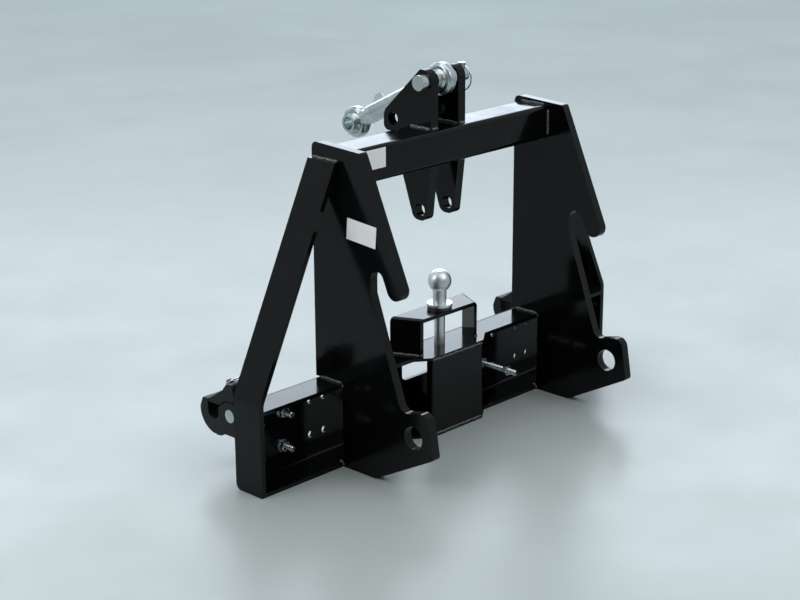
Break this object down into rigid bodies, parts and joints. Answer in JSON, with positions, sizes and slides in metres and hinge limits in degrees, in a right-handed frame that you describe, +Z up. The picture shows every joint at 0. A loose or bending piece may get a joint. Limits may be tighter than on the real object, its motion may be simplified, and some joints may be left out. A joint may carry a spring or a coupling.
{
  "type": "three point quick hitch",
  "caption": "Black steel adapter frame with loader side plates, a bolted channel beam with latching catch hooks, a tow ball on a stand, and an adjustable top link.",
  "frame": {"origin": "on the floor, on the middle plane, in the middle of the overall depth", "axes": "+X to the hitch's right seen from the loader, +Y to the rear towards the implement, +Z up"},
  "size_m": [1.02, 0.521, 0.744],
  "materials": {
    "black_paint": "semi-gloss",
    "cast_paint": "satin over rough casting",
    "zinc_plate": "zinc plated",
    "dark_steel": "dull",
    "blank_label": "matte"
  },
  "bodies": {
    "frame": {"ball_bracket": "black_paint", "beam_label": "blank_label", "brace_left": "black_paint", "brace_right": "black_paint", "hook_base_left": "black_paint", "hook_base_right": "black_paint", "hook_body_left": "cast_paint", "hook_body_right": "cast_paint", "hook_nuts": "zinc_plate", "hook_studs": "zinc_plate", "hook_washers": "zinc_plate", "latch_pin_left": "zinc_plate", "latch_pin_right": "zinc_plate", "linch_pin": "zinc_plate", "lower_beam": "black_paint", "side_label": "blank_label", "side_plate_left": "black_paint", "side_plate_right": "black_paint", "stop_stud_left": "zinc_plate", "stop_stud_nuts": "zinc_plate", "stop_stud_right": "zinc_plate", "top_bracket_left": "black_paint", "top_bracket_right": "black_paint", "top_link_pin": "zinc_plate", "tow_ball": "zinc_plate", "tow_ball_nut": "dark_steel", "tow_ball_washers": "dark_steel", "tow_front_plate": "black_paint", "tow_tie_plate_bottom": "black_paint", "tow_tie_plate_top": "black_paint", "upper_beam": "black_paint"},
    "near_ball": {"near_ball": "zinc_plate"},
    "near_rod": {"near_rod_end": "zinc_plate"},
    "lock_nut": {"lock_nut": "zinc_plate"},
    "barrel": {"barrel": "zinc_plate"},
    "far_rod": {"far_rod_end": "zinc_plate"},
    "far_ball": {"far_ball": "zinc_plate"},
    "latch_left": {"latch_left": "cast_paint"},
    "latch_right": {"latch_right": "cast_paint"},
    "pull_ring_left": {"pull_ring_left": "zinc_plate"},
    "pull_ring_right": {"pull_ring_right": "zinc_plate"},
    "linch_ring": {"linch_ring": "zinc_plate"}
  },
  "joints": [
    {"name": "link_pitch", "type": "hinge", "parent": "frame", "child": "near_ball", "pos_m": [0, -0.0049, 0.712], "axis": [1, 0, 0], "range_deg": [-24, 115]},
    {"name": "link_yaw", "type": "hinge", "parent": "near_ball", "child": "near_rod", "pos_m": [0, -0.0049, 0.712], "axis": [0, 0.454, 0.891], "range_deg": [-4, 4]},
    {"name": "barrel_travel", "type": "slide", "parent": "near_rod", "child": "lock_nut", "axis": [0, 0.891, -0.454], "range_m": [0, 0.04]},
    {"name": "barrel_turn", "type": "hinge", "parent": "lock_nut", "child": "barrel", "pos_m": [0, -0.0049, 0.712], "axis": [0, 0.891, -0.454], "range_deg": [0, 3600]},
    {"name": "far_travel", "type": "slide", "parent": "near_rod", "child": "far_rod", "axis": [0, 0.891, -0.454], "range_m": [0, 0.08]},
    {"name": "far_ball_swivel", "type": "hinge", "parent": "far_rod", "child": "far_ball", "pos_m": [0, 0.22854, 0.59305], "axis": [0, 0.454, 0.891], "range_deg": [-10, 10]},
    {"name": "linch_ring_swing", "type": "hinge", "parent": "frame", "child": "linch_ring", "pos_m": [0.058, -0.0049, 0.7305], "axis": [0, -1, 0], "range_deg": [0, 170]},
    {"name": "latch_left", "type": "hinge", "parent": "frame", "child": "latch_left", "pos_m": [-0.431, 0.1191, 0.111], "axis": [1, 0, 0], "range_deg": [0, 45], "stiffness_Nm_per_rad": 0.6, "springref_deg": -51.57},
    {"name": "pull_ring_left", "type": "hinge", "parent": "latch_left", "child": "pull_ring_left", "pos_m": [-0.431, 0.1471, 0.164], "axis": [1, 0, 0], "range_deg": [-120, 0]},
    {"name": "latch_right", "type": "hinge", "parent": "frame", "child": "latch_right", "pos_m": [0.431, 0.1191, 0.111], "axis": [1, 0, 0], "range_deg": [0, 45], "stiffness_Nm_per_rad": 0.6, "springref_deg": -51.57},
    {"name": "pull_ring_right", "type": "hinge", "parent": "latch_right", "child": "pull_ring_right", "pos_m": [0.431, 0.1471, 0.164], "axis": [1, 0, 0], "range_deg": [-120, 0]}
  ],
  "couplings": [
    {"joint": "barrel_turn", "follows": "far_travel", "rad_per_m": 785.39},
    {"joint": "barrel_travel", "follows": "far_travel", "ratio": 0.5}
  ]
}
